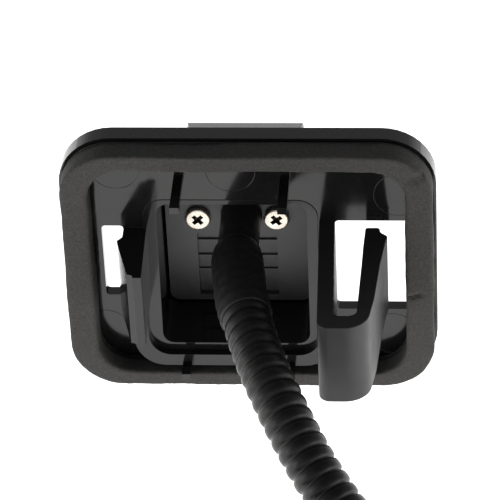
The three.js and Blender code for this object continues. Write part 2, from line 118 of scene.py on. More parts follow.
class Nodes:
    """A material's node tree, with short calls for what the materials here share."""

    def __init__(self, name):
        self.material = bpy.data.materials.new(name)
        self.material.use_nodes = True
        self.tree = self.material.node_tree
        self.shader = self.tree.nodes["Principled BSDF"]
        coordinates = self.tree.nodes.new("ShaderNodeTexCoord")
        scaled = self.tree.nodes.new("ShaderNodeVectorMath")
        scaled.operation = "SCALE"
        scaled.inputs["Scale"].default_value = 1 / MM
        self.tree.links.new(coordinates.outputs["Object"], scaled.inputs[0])
        self.millimetres = scaled.outputs[0]

    def set(self, **values):
        for name, value in values.items():
            self.shader.inputs[name.replace("_", " ")].default_value = value
        return self

    def link(self, source, target):
        self.tree.links.new(source, target)

    def noise(self, size_mm, detail=3.0, roughness=0.55):
        node = self.tree.nodes.new("ShaderNodeTexNoise")
        node.inputs["Scale"].default_value = 1 / size_mm
        node.inputs["Detail"].default_value = detail
        node.inputs["Roughness"].default_value = roughness
        self.link(self.millimetres, node.inputs["Vector"])
        return node.outputs["Fac"]

    def cells(self, size_mm, feature="F1"):
        node = self.tree.nodes.new("ShaderNodeTexVoronoi")
        node.feature = feature
        node.inputs["Scale"].default_value = 1 / size_mm
        self.link(self.millimetres, node.inputs["Vector"])
        return node.outputs["Distance"]

    def ramp(self, source, stops):
        node = self.tree.nodes.new("ShaderNodeValToRGB")
        fill_ramp(node.color_ramp, stops)
        self.link(source, node.inputs["Fac"])
        return node.outputs["Color"]

    def color(self, source, stops):
        self.link(self.ramp(source, stops), self.shader.inputs["Base Color"])
        return self

    def roughness(self, source, low, high):
        self.link(self.ramp(source, [(0.3, low), (0.7, high)]), self.shader.inputs["Roughness"])
        return self

    def bump(self, *layers):
        """Layers are (height source, depth in millimetres)."""
        previous = None
        for source, depth_mm in layers:
            node = self.tree.nodes.new("ShaderNodeBump")
            node.inputs["Distance"].default_value = depth_mm * MM
            self.link(source, node.inputs["Height"])
            if previous:
                self.link(previous, node.inputs["Normal"])
            previous = node.outputs["Normal"]
        self.link(previous, self.shader.inputs["Normal"])
        return self


def gloss_abs():
    """Injection-moulded black ABS: mirror-like, with faint flow, haze and a few specks of dust."""
    n = Nodes("gloss_black_abs").set(IOR=1.53)
    dust = n.cells(2.6)
    n.color(dust, [(0.0, (0.10, 0.10, 0.10)), (0.022, (0.05, 0.05, 0.05)), (0.034, (0.0100, 0.0100, 0.0103))])
    n.roughness(n.noise(5.0), 0.07, 0.15)
    n.bump((n.noise(9.0, 1.0), 0.02), (n.noise(0.5), 0.0007))
    return n.material


def clip_plastic():
    """The same ABS off a duller part of the mould: a broad, soft sheen."""
    n = Nodes("clip_black_abs").set(IOR=1.53)
    n.color(n.noise(3.0), [(0.3, (0.016, 0.016, 0.0165)), (0.7, (0.022, 0.022, 0.0225))])
    n.roughness(n.noise(4.0), 0.44, 0.52)
    n.bump((n.noise(0.3), 0.002))
    return n.material


def cover_plastic():
    """The lid is moulded in a separate, satin grade: an even dark grey."""
    n = Nodes("cover_satin_abs").set(IOR=1.5)
    n.color(n.noise(4.0), [(0.3, (0.066, 0.066, 0.068)), (0.7, (0.078, 0.078, 0.080))])
    n.roughness(n.noise(2.0), 0.36, 0.44)
    n.bump((n.noise(0.25, 2.0), 0.003))
    return n.material


def adhesive_tape():
    """Black double-sided tape under the foam."""
    n = Nodes("black_tape").set(IOR=1.45)
    n.color(n.noise(1.5), [(0.3, (0.014, 0.013, 0.012)), (0.7, (0.026, 0.024, 0.023))])
    n.roughness(n.noise(0.8), 0.6, 0.8)
    n.bump((n.noise(0.5), 0.01))
    return n.material


def satin_plastic():
    """Satin black ABS, for the mouldings that aren't polished."""
    n = Nodes("satin_black_abs").set(IOR=1.5)
    n.color(n.noise(2.5), [(0.3, (0.008, 0.008, 0.0085)), (0.75, (0.016, 0.016, 0.017))])
    n.roughness(n.noise(1.2), 0.34, 0.5)
    n.bump((n.noise(0.22, 2.0), 0.004))
    return n.material


def foam():
    """Closed-cell foam: matte, speckled by its cut cells, a little dusty."""
    n = Nodes("gasket_foam").set(IOR=1.4)
    n.color(n.noise(0.55, 4.0, 0.7), [
        (0.32, (0.044, 0.0425, 0.041)), (0.55, (0.064, 0.062, 0.060)), (0.8, (0.090, 0.087, 0.084)),
    ])
    n.roughness(n.noise(0.8), 0.82, 0.98)
    n.bump((n.cells(0.42), 0.05), (n.noise(1.8), 0.12))
    return n.material


def ribbed_tube():
    """Nylon convoluted tube: black, with a soft sheen and a rubbed crest here and there."""
    n = Nodes("conduit_nylon").set(IOR=1.5)
    n.color(n.noise(3.0, 4.0), [(0.35, (0.010, 0.010, 0.010)), (0.75, (0.019, 0.0185, 0.018))])
    n.roughness(n.noise(1.5), 0.3, 0.42)
    n.set(Specular_IOR_Level=0.35)
    n.bump((n.noise(0.35), 0.006))
    return n.material


def cable_jacket():
    """Soft heat-shrunk sleeve and moulded boot."""
    n = Nodes("cable_jacket").set(IOR=1.48)
    n.color(n.noise(2.0, 4.0), [(0.35, (0.014, 0.014, 0.014)), (0.75, (0.024, 0.0235, 0.023))])
    n.roughness(n.noise(1.0), 0.42, 0.6)
    n.bump((n.noise(1.6), 0.05), (n.noise(0.3), 0.008))
    return n.material


def nickel():
    """Bright nickel plate with fine turning marks and small stains."""
    n = Nodes("nickel_plate").set(Metallic=1.0)
    n.color(n.noise(0.9, 4.0), [(0.35, (0.60, 0.54, 0.46)), (0.7, (0.82, 0.77, 0.69))])
    n.roughness(n.noise(0.4, 4.0), 0.2, 0.34)
    n.bump((n.noise(0.15), 0.002))
    return n.material


def recess_painted_shade():
    """The bottom of a driven screw recess: painted shade, a dark metal colour standing in for the shadow
    inside the recess.
    """
    n = Nodes("recess_painted_shade").set(Metallic=1.0)
    n.color(n.noise(0.3, 4.0), [(0.35, (0.05, 0.042, 0.034)), (0.7, (0.16, 0.14, 0.12))])
    n.roughness(n.noise(0.3), 0.4, 0.6)
    n.bump((n.noise(0.2), 0.004))
    return n.material


def dark_metal():
    n = Nodes("black_anodised").set(Metallic=1.0)
    n.color(n.noise(1.2, 4.0), [(0.3, (0.02, 0.02, 0.022)), (0.8, (0.05, 0.05, 0.055))])
    n.roughness(n.noise(0.5), 0.28, 0.42)
    n.bump((n.noise(0.12), 0.002))
    return n.material


def lens_glass():
    """Coated glass: nearly clear, with a faint violet coating."""
    n = Nodes("coated_glass").set(IOR=1.62)
    n.set(Transmission_Weight=0.85, Coat_Weight=1.0, Coat_Roughness=0.02, Coat_IOR=1.7)
    n.shader.inputs["Coat Tint"].default_value = (0.72, 0.62, 1.0, 1)
    n.color(n.noise(6.0), [(0.3, (0.55, 0.6, 0.78)), (0.7, (0.66, 0.7, 0.86))])
    n.roughness(n.noise(3.0), 0.01, 0.03)
    return n.material


def filter_glass():
    n = Nodes("ir_filter_glass").set(IOR=1.52)
    n.color(n.noise(3.0), [(0.3, (0.16, 0.02, 0.05)), (0.7, (0.22, 0.03, 0.07))])
    n.roughness(n.noise(2.0), 0.03, 0.07)
    return n.material


def circuit_board():
    """Green solder mask, paler where it runs over a track."""
    n = Nodes("solder_mask").set(IOR=1.5)
    tracks = n.cells(1.6, "DISTANCE_TO_EDGE")
    n.color(tracks, [(0.02, (0.02, 0.16, 0.06)), (0.08, (0.006, 0.07, 0.03))])
    n.roughness(n.noise(0.6), 0.25, 0.4)
    n.bump((tracks, 0.03))
    return n.material


def sensor_glass():
    n = Nodes("sensor_glass").set(IOR=1.5)
    n.color(n.cells(0.12), [(0.1, (0.02, 0.025, 0.05)), (0.6, (0.06, 0.07, 0.11))])
    n.roughness(n.noise(1.0), 0.08, 0.16)
    return n.material


def pale_film():
    n = Nodes("adhesive_film").set(IOR=1.45)
    n.color(n.noise(1.5), [(0.3, (0.58, 0.55, 0.48)), (0.7, (0.72, 0.69, 0.62))])
    n.roughness(n.noise(0.8), 0.5, 0.7)
    n.bump((n.noise(0.5), 0.01))
    return n.material


def seal_rubber():
    n = Nodes("seal_rubber").set(IOR=1.45)
    n.color(n.noise(1.0), [(0.3, (0.018, 0.017, 0.016)), (0.7, (0.035, 0.033, 0.032))])
    n.roughness(n.noise(0.6), 0.6, 0.8)
    n.bump((n.noise(0.3), 0.01))
    return n.material


def contact_gold():
    n = Nodes("contact_plate").set(Metallic=1.0)
    n.color(n.noise(0.8), [(0.3, (0.62, 0.45, 0.16)), (0.7, (0.8, 0.62, 0.28))])
    n.roughness(n.noise(0.4), 0.2, 0.35)
    n.bump((n.noise(0.2), 0.002))
    return n.material


GLOSS = gloss_abs()
CLIP_GLOSS = clip_plastic()
COVER = cover_plastic()
TAPE = adhesive_tape()
SATIN = satin_plastic()
FOAM = foam()
TUBE = ribbed_tube()
JACKET = cable_jacket()
NICKEL = nickel()
RECESS_PAINTED_SHADE = recess_painted_shade()
DARK_METAL = dark_metal()
GLASS = lens_glass()
BOARD = circuit_board()
FILM = pale_film()
SEAL = seal_rubber()
GOLD = contact_gold()

# ------------------------------------------------------------------ mesh helpers


def add_object(name, mesh, material, body="root", smooth=True):
    piece = bpy.data.objects.new(name, mesh)
    bpy.context.scene.collection.objects.link(piece)
    mesh.materials.append(material)
    if smooth:
        mesh.polygons.foreach_set("use_smooth", [True] * len(mesh.polygons))
    if body:
        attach(piece, body)
    return piece


def mesh_from(name, vertices, faces):
    mesh = bpy.data.meshes.new(name)
    mesh.from_pydata([tuple(v) for v in vertices], [], faces)
    mesh.update()
    return mesh


def apply_modifiers(piece):
    """Bakes the modifiers into the piece's own mesh."""
    bpy.context.view_layer.update()
    evaluated = piece.evaluated_get(bpy.context.evaluated_depsgraph_get())
    final = bpy.data.meshes.new_from_object(evaluated)
    piece.modifiers.clear()
    piece.data = final


def soften_edges(piece, width_mm, segments=3, angle=30):
    """Rounds the sharp edges and leaves flat faces flat."""
    bevel = piece.modifiers.new("edges", "BEVEL")
    bevel.width = width_mm * MM
    bevel.segments = segments
    bevel.limit_method = "ANGLE"
    bevel.angle_limit = math.radians(angle)
    bevel.use_clamp_overlap = True
    bevel.harden_normals = False
    weighted = piece.modifiers.new("normals", "WEIGHTED_NORMAL")
    weighted.keep_sharp = True
    weighted.weight = 80


def finish_node(name, material, width_mm=0.2, segments=2):
    """Keeps a CAD node's shape, with softened moulded edges and a real material."""
    node = NODES[name]
    node.data.materials.clear()
    node.data.materials.append(material)
    node.data.polygons.foreach_set("use_smooth", [True] * len(node.data.polygons))
    weld = node.modifiers.new("weld", "WELD")
    weld.merge_threshold = 0.004 * MM
    flat = node.modifiers.new("flat_faces", "DECIMATE")
    flat.decimate_type = "DISSOLVE"
    flat.angle_limit = math.radians(0.6)
    if width_mm:
        soften_edges(node, width_mm, segments)


def frames_along(points):
    """A side and an up direction at each point, turned as little as possible from one to the next."""
    tangents = []
    for i in range(len(points)):
        ahead = points[min(i + 1, len(points) - 1)]
        behind = points[max(i - 1, 0)]
        tangents.append((ahead - behind).normalized())
    side = tangents[0].cross(Vector((0, 0, 1))).normalized()
    frames = []
    for tangent in tangents:
        side = (side - tangent * side.dot(tangent)).normalized()
        frames.append((side, tangent.cross(side).normalized()))
    return frames


def skin(rings, sides):
    """Faces between neighbouring rings of vertices, and a cap at each end."""
    faces = []
    for i in range(rings - 1):
        for k in range(sides):
            a, b = i * sides + k, i * sides + (k + 1) % sides
            faces.append((a, b, b + sides, a + sides))
    last = (rings - 1) * sides
    return [*faces, tuple(range(sides)), tuple(last + k for k in range(sides))]


def tube_mesh(name, centres, radii, sides):
    """A closed tube with its own radius at each centre."""
    vertices = []
    for centre, radius, (side, up) in zip(centres, radii, frames_along(centres)):
        for k in range(sides):
            angle = math.tau * k / sides
            vertices.append(centre + (side * math.cos(angle) + up * math.sin(angle)) * radius)
    mesh = mesh_from(name, vertices, skin(len(centres), sides))
    fix_normals(mesh)
    return mesh


def fix_normals(mesh, merge=0.0):
    """Turns every face outwards, after merging vertices closer than this many metres."""
    work = bmesh.new()
    work.from_mesh(mesh)
    if merge:
        bmesh.ops.remove_doubles(work, verts=work.verts, dist=merge)
    bmesh.ops.recalc_face_normals(work, faces=work.faces)
    work.to_mesh(mesh)
    work.free()


def lathe_mesh(name, centre, profile, sides=64):
    """Turned about the reach direction. The profile is [radius, reach] in millimetres."""
    x, z = centre
    vertices = []
    for radius, reach in profile:
        for k in range(sides):
            angle = math.tau * k / sides
            vertices.append(place(x + radius * math.cos(angle), reach, z + radius * math.sin(angle)))
    mesh = mesh_from(name, vertices, skin(len(profile), sides))
    fix_normals(mesh, merge=1e-7)
    return mesh


def smooth_path(points, step):
    """Points a step apart along a centripetal Catmull-Rom curve through the given points."""
    guarded = [points[0] * 2 - points[1], *points, points[-1] * 2 - points[-2]]
    per_span, dense = 24, []
    for p0, p1, p2, p3 in zip(guarded, guarded[1:], guarded[2:], guarded[3:]):
        t1 = math.sqrt((p1 - p0).length)
        t2 = t1 + math.sqrt((p2 - p1).length)
        t3 = t2 + math.sqrt((p3 - p2).length)
        for i in range(per_span):
            t = t1 + (t2 - t1) * i / per_span
            a1 = p0 * ((t1 - t) / t1) + p1 * (t / t1)
            a2 = p1 * ((t2 - t) / (t2 - t1)) + p2 * ((t - t1) / (t2 - t1))
            a3 = p2 * ((t3 - t) / (t3 - t2)) + p3 * ((t - t2) / (t3 - t2))
            b1 = a1 * ((t2 - t) / t2) + a2 * (t / t2)
            b2 = a2 * ((t3 - t) / (t3 - t1)) + a3 * ((t - t1) / (t3 - t1))
            dense.append(b1 * ((t2 - t) / (t2 - t1)) + b2 * ((t - t1) / (t2 - t1)))
    dense.append(points[-1])
    return spaced(dense, step)


def spaced(points, step):
    """The same line with its points a step apart."""
    result, carried = [points[0]], 0.0
    for a, b in zip(points, points[1:]):
        length = (b - a).length
        while carried + length >= step:
            a = a + (b - a) * ((step - carried) / length)
            result.append(a)
            length = (b - a).length
            carried = 0.0
        carried += length
    return result


# ------------------------------------------------------------------ the pigtail

# The route from the boot to the coil, and from the coil to the plug: (x, y, z) in metres.
LEAD = [
    (-0.0025, 0.00185, 0.0310), (-0.0022, -0.00235, 0.0310), (-0.0015, -0.00785, 0.0310),
    (-0.0006, -0.01435, 0.0310), (0.0009, -0.02085, 0.0308), (0.0027, -0.02735, 0.0300),
    (0.0050, -0.03385, 0.0285), (0.0080, -0.04035, 0.0260), (0.0116, -0.04685, 0.0226),
    (0.0160, -0.05335, 0.0184), (0.0215, -0.05985, 0.0139), (0.0280, -0.06635, 0.0101),
    (0.0348, -0.07335, 0.0072), (0.0415, -0.08135, 0.0056), (0.0470, -0.08985, 0.0052),
    (0.0518, -0.09865, 0.0052),
]
TAIL = [
    (0.0070, -0.17435, 0.0154), (-0.0010, -0.17435, 0.0153), (-0.0110, -0.17435, 0.0146),
    (-0.0210, -0.17435, 0.0123), (-0.0310, -0.17435, 0.0093), (-0.0410, -0.17435, 0.0072),
    (-0.0490, -0.17435, 0.0064), (-0.0540, -0.17435, 0.0063),
]
COIL_CENTRE = Vector((0.009, -0.12435, 0.0))
COIL_RADIUS = 0.050
COIL_FIRST, COIL_LAST = 31.0, -92.3  # degrees; clockwise seen from above, with a whole turn in between
COIL_TURNS = (360 + COIL_FIRST - COIL_LAST) / 360
COIL_POINTS_PER_TURN = 36
RISE_START, RISE_TURNS = 0.66, 0.30  # where the tube climbs on to its own first turn, in turns
CONDUIT_RADIUS = 5.0 * MM
RIB_PITCH = 3.0 * MM
FLOOR_HEIGHT = 5.2 * MM  # of the centreline on the floor
LIFT = 10.2 * MM  # from there to the centreline of the upper turn
SLEEVE_POINTS = 7  # as many of the lead's points as the sleeve needs


def coil_points():
    """Round once on the floor, up over the lead's end, and on round the top of the first turn."""
    points = []
    count = round(COIL_POINTS_PER_TURN * COIL_TURNS)
    for i in range(1, count):
        turn = COIL_TURNS * i / count
        angle = math.radians(COIL_FIRST) - math.tau * turn
        rise = min(max((turn - RISE_START) / RISE_TURNS, 0.0), 1.0)
        height = FLOOR_HEIGHT + LIFT * rise * rise * (3 - 2 * rise)
        points.append(COIL_CENTRE + Vector((
            COIL_RADIUS * math.cos(angle), COIL_RADIUS * math.sin(angle), height,
        )))
    return points


# One rib of the tube: (share of the pitch, radius as a share of the outer radius).
RIB_PROFILE = [
    (0.0, 0.89), (0.09, 0.90), (0.16, 0.95), (0.26, 0.985), (0.4, 0.998),
    (0.5, 1.0), (0.6, 0.998), (0.74, 0.985), (0.84, 0.95), (0.91, 0.90),
]


def make_conduit():
    """The corrugated tube over its whole route, in whole ribs."""
    step = 0.1 * MM
    route = [Vector(p) for p in LEAD] + coil_points() + [Vector(p) for p in TAIL]
    fine = smooth_path(route, step)
    ribs = round(step * (len(fine) - 1) / RIB_PITCH)
    centres, radii = [], []
    for rib in range(ribs):
        for share, size in RIB_PROFILE:
            centres.append(fine[round((rib + share) * (len(fine) - 1) / ribs)])
            radii.append(CONDUIT_RADIUS * size)
    centres.append(fine[-1])
    radii.append(CONDUIT_RADIUS * RIB_PROFILE[0][1])
    mesh = tube_mesh("pigtail", centres, radii, 24)
    piece = add_object("pigtail", mesh, TUBE)
    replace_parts(piece, "pigtail_conduit", "pigtail_coil", "pigtail_tail")
    return piece, centres


def make_sleeve():
    """Shrunk over the first ribs of the tube, so that they show through faintly."""
    start, length, fade, step = 3.4 * MM, 19.0 * MM, 1.0 * MM, 0.25 * MM
    neck_radius, full_radius, ripple_height, end_drop = 4.05, 5.3, 0.04, 0.2
    centres, radii = [], []
    for i, centre in enumerate(smooth_path([Vector(p) for p in LEAD[:SLEEVE_POINTS]], step)):
        along = i * step
        if along > start + length:
            break
        shoulder = min(along / start, 1.0)
        base = neck_radius + (full_radius - neck_radius) * math.sin(shoulder * math.pi / 2) ** 0.8
        ripple = ripple_height * math.cos(math.tau * (along / RIB_PITCH - 0.5)) * shoulder
        end = max(0.0, (along - start - length + fade) / fade)
        centres.append(centre)
        radii.append((base + ripple - end_drop * end * end) * MM)
    mesh = tube_mesh("sleeve", centres, radii, 40)
    piece = add_object("sleeve", mesh, JACKET)
    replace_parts(piece, "conduit_sleeve")
    return piece


def make_boot():
    """Moulded strain relief: a short collar on the cover and a smooth neck."""
    profile = [
        (3.0, -13.9), (3.0, -12.0), (4.2, -12.0), (4.3, -11.8), (4.25, -11.2), (4.18, -10.2), (4.15, -9.0),
        (4.15, -6.0), (4.15, -3.0), (4.15, -0.4), (4.05, 0.1), (3.8, 0.4), (3.4, 0.5), (0.05, 0.5),
    ]
    mesh = lathe_mesh("boot", (-2.5, 31.0), profile, 56)
    piece = add_object("boot", mesh, JACKET)
    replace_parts(piece, "cable_boot")
    return piece


def make_coil_tie():
    """A cable tie round both turns, with its head inside the ring."""
    inner, outer, floor_in, floor_out, half_width, steps = 5.1, 6.0, 0.55, 0.06, 2.4, 48
    low, high = FLOOR_HEIGHT / MM, (FLOOR_HEIGHT + LIFT) / MM
    vertices, faces = [], []
    for i in range(steps):
        cosine, sine = math.cos(math.tau * i / steps), math.sin(math.tau * i / steps)
        centre = low if sine < 0 else high
        for radius, floor in ((inner, floor_in), (outer, floor_out)):
            for across in (-half_width, half_width):
                x = COIL_RADIUS / MM + radius * cosine
                z = max(centre + radius * sine, floor)
                vertices.append(COIL_CENTRE + Vector((x, across, z)) * MM)
    for i in range(steps):
        a, b = 4 * i, 4 * ((i + 1) % steps)
        faces += [
            (a, a + 1, b + 1, b), (a + 2, b + 2, b + 3, a + 3),
            (a, b, b + 2, a + 2), (a + 1, a + 3, b + 3, b + 1),
        ]
    mesh = mesh_from("tie", vertices, faces)
    work = bmesh.new()
    work.from_mesh(mesh)
    head = COIL_CENTRE + Vector((COIL_RADIUS / MM - outer - 1.5, 0, 10.4)) * MM
    strap_end = head + Vector((-0.4, 0, 7.2)) * MM
    for centre, size in ((head, (4.0, 6.6, 5.2)), (strap_end, (1.0, 4.4, 11.0))):
        stretch = Matrix.Diagonal(Vector(size) * MM).to_4x4()
        bmesh.ops.create_cube(work, size=1.0, matrix=Matrix.Translation(centre) @ stretch)
    bmesh.ops.recalc_face_normals(work, faces=work.faces)
    work.to_mesh(mesh)
    work.free()
    piece = add_object("tie", mesh, SATIN)
    soften_edges(piece, 0.22, 2)
    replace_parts(piece, "coil_tie")
    return piece


def make_plug_boot():
    """The plug's strain relief, with four grooves."""
    low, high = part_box("plug_boot")
    middle = (low + high) / 2
    length = (high.x - low.x) / MM
    first_groove, groove_pitch, grooves, sides = 1.2, 2.4, 4, 48
    profile = [(0.1, 0.0), (5.2, 0.0), (5.6, 0.25)]
    for i in range(grooves):
        start = first_groove + groove_pitch * i
        profile += [(5.75, start), (5.75, start + 1.2), (5.1, start + 1.5), (5.1, start + 2.1)]
    profile += [(5.75, 10.9), (5.6, length - 0.2), (5.2, length), (0.1, length)]
    vertices = []
    for radius, along in profile:
        for k in range(sides):
            angle = math.tau * k / sides
            vertices.append(Vector((
                high.x - along * MM,
                middle.y + radius * MM * math.cos(angle),
                middle.z + radius * MM * math.sin(angle),
            )))
    mesh = mesh_from("plug_strain_relief", vertices, skin(len(profile), sides))
    fix_normals(mesh)
    piece = add_object("plug_strain_relief", mesh, JACKET)
    sharpen(piece, 40)
    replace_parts(piece, "plug_boot")
    return piece


def sharpen(piece, angle):
    """Keeps edges sharper than the angle crisp under smooth shading."""
    work = bmesh.new()
    work.from_mesh(piece.data)
    for edge in work.edges:
        if len(edge.link_faces) == 2 and edge.calc_face_angle(0) > math.radians(angle):
            edge.smooth = False
    work.to_mesh(piece.data)
    work.free()


conduit, conduit_route = make_conduit()
sleeve = make_sleeve()
boot = make_boot()
tie = make_coil_tie()
plug_boot = make_plug_boot()

finish_node("plug_housing", SATIN, 0.5, 3)
finish_node("plug_latch", SATIN, 0.2)
finish_node("plug_lock", FILM, 0.2)
TERMINALS = [f"plug_terminal_{i}" for i in (1, 2, 3, 4)]
for terminal in TERMINALS:
    finish_node(terminal, GOLD, 0.12)

# ------------------------------------------------------------------ foam gasket

GASKET = {"half": 37.2, "bottom": 0.6, "top": 57.6, "radius": 10.4}
GASKET_HOLE = {"half": 31.6, "bottom": 3.9, "top": 54.0, "radius": 7.0}
# Across the foam: 0 is the outer edge, 1 the inner edge; and the reach in millimetres.
GASKET_SECTION = [
    (0.0, 0.8), (0.0, 1.9), (0.0, 3.0), (0.0, 4.1), (0.0, 5.1), (0.012, 5.65), (0.06, 5.93), (0.14, 6.0),
    (0.26, 6.0), (0.38, 6.0), (0.5, 6.0), (0.62, 6.0), (0.74, 6.0), (0.86, 6.0), (0.94, 5.93), (0.988, 5.65),
    (1.0, 5.1), (1.0, 4.1), (1.0, 3.0), (1.0, 1.9), (1.0, 0.8), (0.5, 0.8),
]
CRACKS = [((32.4, 51.6), (35.6, 53.2)), ((32.6, 52.9), (34.4, 51.4)), ((32.4, 23.4), (34.6, 24.2))]
CRACK_WIDTH, CRACK_DEPTH = 0.32, 0.75
CORNER_STEPS, LEVEL_STEPS, UPRIGHT_STEPS = 18, 110, 84


def rounded_ring(half, bottom, top, radius):
    """Points round a rectangle with round corners, as many on each side for any size."""
    corners = [
        (half - radius, bottom + radius, -90, UPRIGHT_STEPS),
        (half - radius, top - radius, 0, LEVEL_STEPS),
        (-half + radius, top - radius, 90, UPRIGHT_STEPS),
        (-half + radius, bottom + radius, 180, LEVEL_STEPS),
    ]
    points = []
    for index, (cx, cz, start, count) in enumerate(corners):
        for i in range(CORNER_STEPS):
            angle = math.radians(start + 90 * i / CORNER_STEPS)
            points.append(Vector((cx + radius * math.cos(angle), cz + radius * math.sin(angle))))
        angle = math.radians(start + 90)
        here = Vector((cx + radius * math.cos(angle), cz + radius * math.sin(angle)))
        nx, nz, next_start, _ = corners[(index + 1) % 4]
        angle = math.radians(next_start)
        there = Vector((nx + radius * math.cos(angle), nz + radius * math.sin(angle)))
        points += [here.lerp(there, i / count) for i in range(count)]
    return points


def crack_depth(x, z):
    """How far a short tear in the foam's face lowers it here, from 0 to 1."""
    point, deepest = Vector((x, z)), 0.0
    for a, b in CRACKS:
        a, b = Vector(a), Vector(b)
        share = min(max((point - a).dot(b - a) / (b - a).length_squared, 0.0), 1.0)
        distance = (point - a.lerp(b, share)).length
        deepest = max(deepest, math.exp(-((distance / CRACK_WIDTH) ** 2)))
    return deepest


def wobble(spot, size, height, offset=(0, 0, 0)):
    """Smooth noise at this spot, with its size and height in millimetres."""
    return noise.noise(spot / size + Vector(offset)) * height


def make_gasket():
    """The foam ring: wavy where it was cut, rough along the bottom, and torn in a few places."""
    face_reach, face_sink, bottom_strip = 5.5, 0.1, 5
    outer, inner = rounded_ring(**GASKET), rounded_ring(**GASKET_HOLE)
    count, around = len(GASKET_SECTION), len(outer)
    vertices, faces = [], []
    for edge_out, edge_in in zip(outer, inner):
        across = (edge_in - edge_out).normalized()
        for share, reach in GASKET_SECTION:
            flat = edge_out.lerp(edge_in, share)
            spot = Vector((flat.x, flat.y, reach))
            wave = wobble(spot, 9.0, 0.34) + wobble(spot, 2.2, 0.1, (7, 3, 1))
            ragged = wobble(spot, 0.8, 0.16 if flat.y < bottom_strip else 0.05, (1, 9, 4))
            edge = abs(share - 0.5) * 2
            flat = flat + across * (wave + ragged) * edge ** 3
            depth = 0.0
            if reach > face_reach:
                depth = wobble(spot, 7.0, 0.1) + wobble(spot, 1.3, 0.035) - face_sink
                depth -= CRACK_DEPTH * crack_depth(flat.x, flat.y)
            vertices.append(place(flat.x, reach + depth, flat.y))
    for i in range(around):
        for k in range(count):
            a, b = i * count + k, i * count + (k + 1) % count
            c, d = (i + 1) % around * count + (k + 1) % count, (i + 1) % around * count + k
            faces.append((a, b, c, d))
    mesh = mesh_from("foam_seal", vertices, faces)
    fix_normals(mesh)
    piece = add_object("foam_seal", mesh, FOAM)
    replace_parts(piece, "foam_gasket")


make_gasket()

# ------------------------------------------------------------------ spring clip

# "leg" and "bend" are thicknesses; "lean" is how far the clip slopes to the right over its whole reach.
CLIP = {
    "left": 14.2, "right": 24.6, "leg": 3.2, "reach": 35.3,
    "bend": 4.1, "bottom": 19.9, "top": 38.1, "lean": 1.1,
}


def arc(cx, cy, radius, start, end, steps):
    angles = [math.radians(start + (end - start) * i / steps) for i in range(steps + 1)]
    return [(cx + radius * math.cos(a), cy + radius * math.sin(a)) for a in angles]


def clip_outline():
    """The clip from above, as (x, reach): fixed leg, bend, free leg with its barb, and back inside."""
    left, reach = CLIP["left"], CLIP["reach"]
    inner_left, inner_reach = left + CLIP["leg"], reach - CLIP["bend"]
    upright = [
        (left, -0.15), (left, 12.0), (left, 24.0),
        *arc(left + 2.2, reach - 2.2, 2.2, 180, 90, 8),
        *arc(CLIP["right"] - 5.4, reach - 5.4, 5.4, 90, 8, 12),
        (24.8, 29.1), (25.1, 27.3), (25.4, 25.6), (25.95, 20.0), (26.5, 14.2), (27.0, 10.6), (27.4, 7.6),
        *arc(27.3, 5.0, 0.6, 10, -40, 3), (26.72, 3.7), (26.5, 3.3), (26.4, 2.4), (26.1, 2.0),
        (23.8, 2.0), (23.5, 2.3), (23.1, 8.0), (22.8, 14.2), (22.35, 22.0), (22.02, 28.0),
        *arc(20.1, inner_reach - 1.9, 1.9, 15, 90, 6),
        *arc(inner_left + 1.2, inner_reach - 1.2, 1.2, 90, 180, 5),
        (inner_left, 20.0), (inner_left, 8.0), (inner_left, -0.15),
    ]
    return [(x + CLIP["lean"] * out / reach, out) for x, out in upright]


def make_clip():
    """One moulding: fixed leg, bend and free leg in a single piece, attached to no body."""
    outline = clip_outline()
    count = len(outline)
    vertices = [place(x, reach, z) for z in (CLIP["bottom"], CLIP["top"]) for x, reach in outline]
    faces = [(i, (i + 1) % count, (i + 1) % count + count, i + count) for i in range(count)]
    faces += [tuple(range(count)), tuple(range(2 * count - 1, count - 1, -1))]
    mesh = mesh_from("spring_clip", vertices, faces)
    fix_normals(mesh)
    piece = add_object("spring_clip", mesh, CLIP_GLOSS, body=None)
    soften_edges(piece, 0.4, 3, 40)
    apply_modifiers(piece)
    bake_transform(piece)
    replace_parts(piece, "clip_fixed_leg", "clip_spring_leg")


make_clip()

# ------------------------------------------------------------------ bezel and rear cover

finish_node("bezel", GLOSS, 0.22, 3)
finish_node("rear_cover", COVER, 0.35, 3)
finish_node("gasket_adhesive", TAPE, 0)

EJECTOR_MARKS = [(-26.3, 51.0), (-3.2, 50.4), (30.2, 44.6), (-30.5, 10.5), (28.5, 10.0)]


def make_ejector_marks():
    """Faint raised rims that the mould's ejector pins leave in the plate."""
    profile = [(4.86, -0.02), (4.9, 0.035), (5.02, 0.035), (5.06, -0.02)]
    sides = 72
    vertices, faces = [], []
    for x, z in EJECTOR_MARKS:
        base = len(vertices)
        for radius, reach in profile:
            for k in range(sides):
                angle = math.tau * k / sides
                vertices.append(place(x + radius * math.cos(angle), reach, z + radius * math.sin(angle)))
        for i in range(len(profile)):
            for k in range(sides):
                a = base + i * sides + k
                b = base + i * sides + (k + 1) % sides
                step = sides if i < len(profile) - 1 else -i * sides
                faces.append((a, b, b + step, a + step))
    mesh = mesh_from("ejector_marks", vertices, faces)
    fix_normals(mesh)
    add_object("ejector_marks", mesh, GLOSS)


make_ejector_marks()

# ------------------------------------------------------------------ screws

SCREW_HEIGHT = 30.4  # z of both screws' axes
# The tip and shank in the cover, then the flat head with its rounded rim: (radius, reach).
SCREW_PROFILE = [
    (0.02, -18.7), (0.5, -18.7), (1.25, -17.9), (1.25, -12.5), (2.46, -12.5), (2.5, -12.42), (2.5, -11.6),
    (2.49, -11.25), (2.44, -11.1), (2.34, -11.03), (2.15, -11.005), (1.2, -11.0), (0.02, -11.0),
]


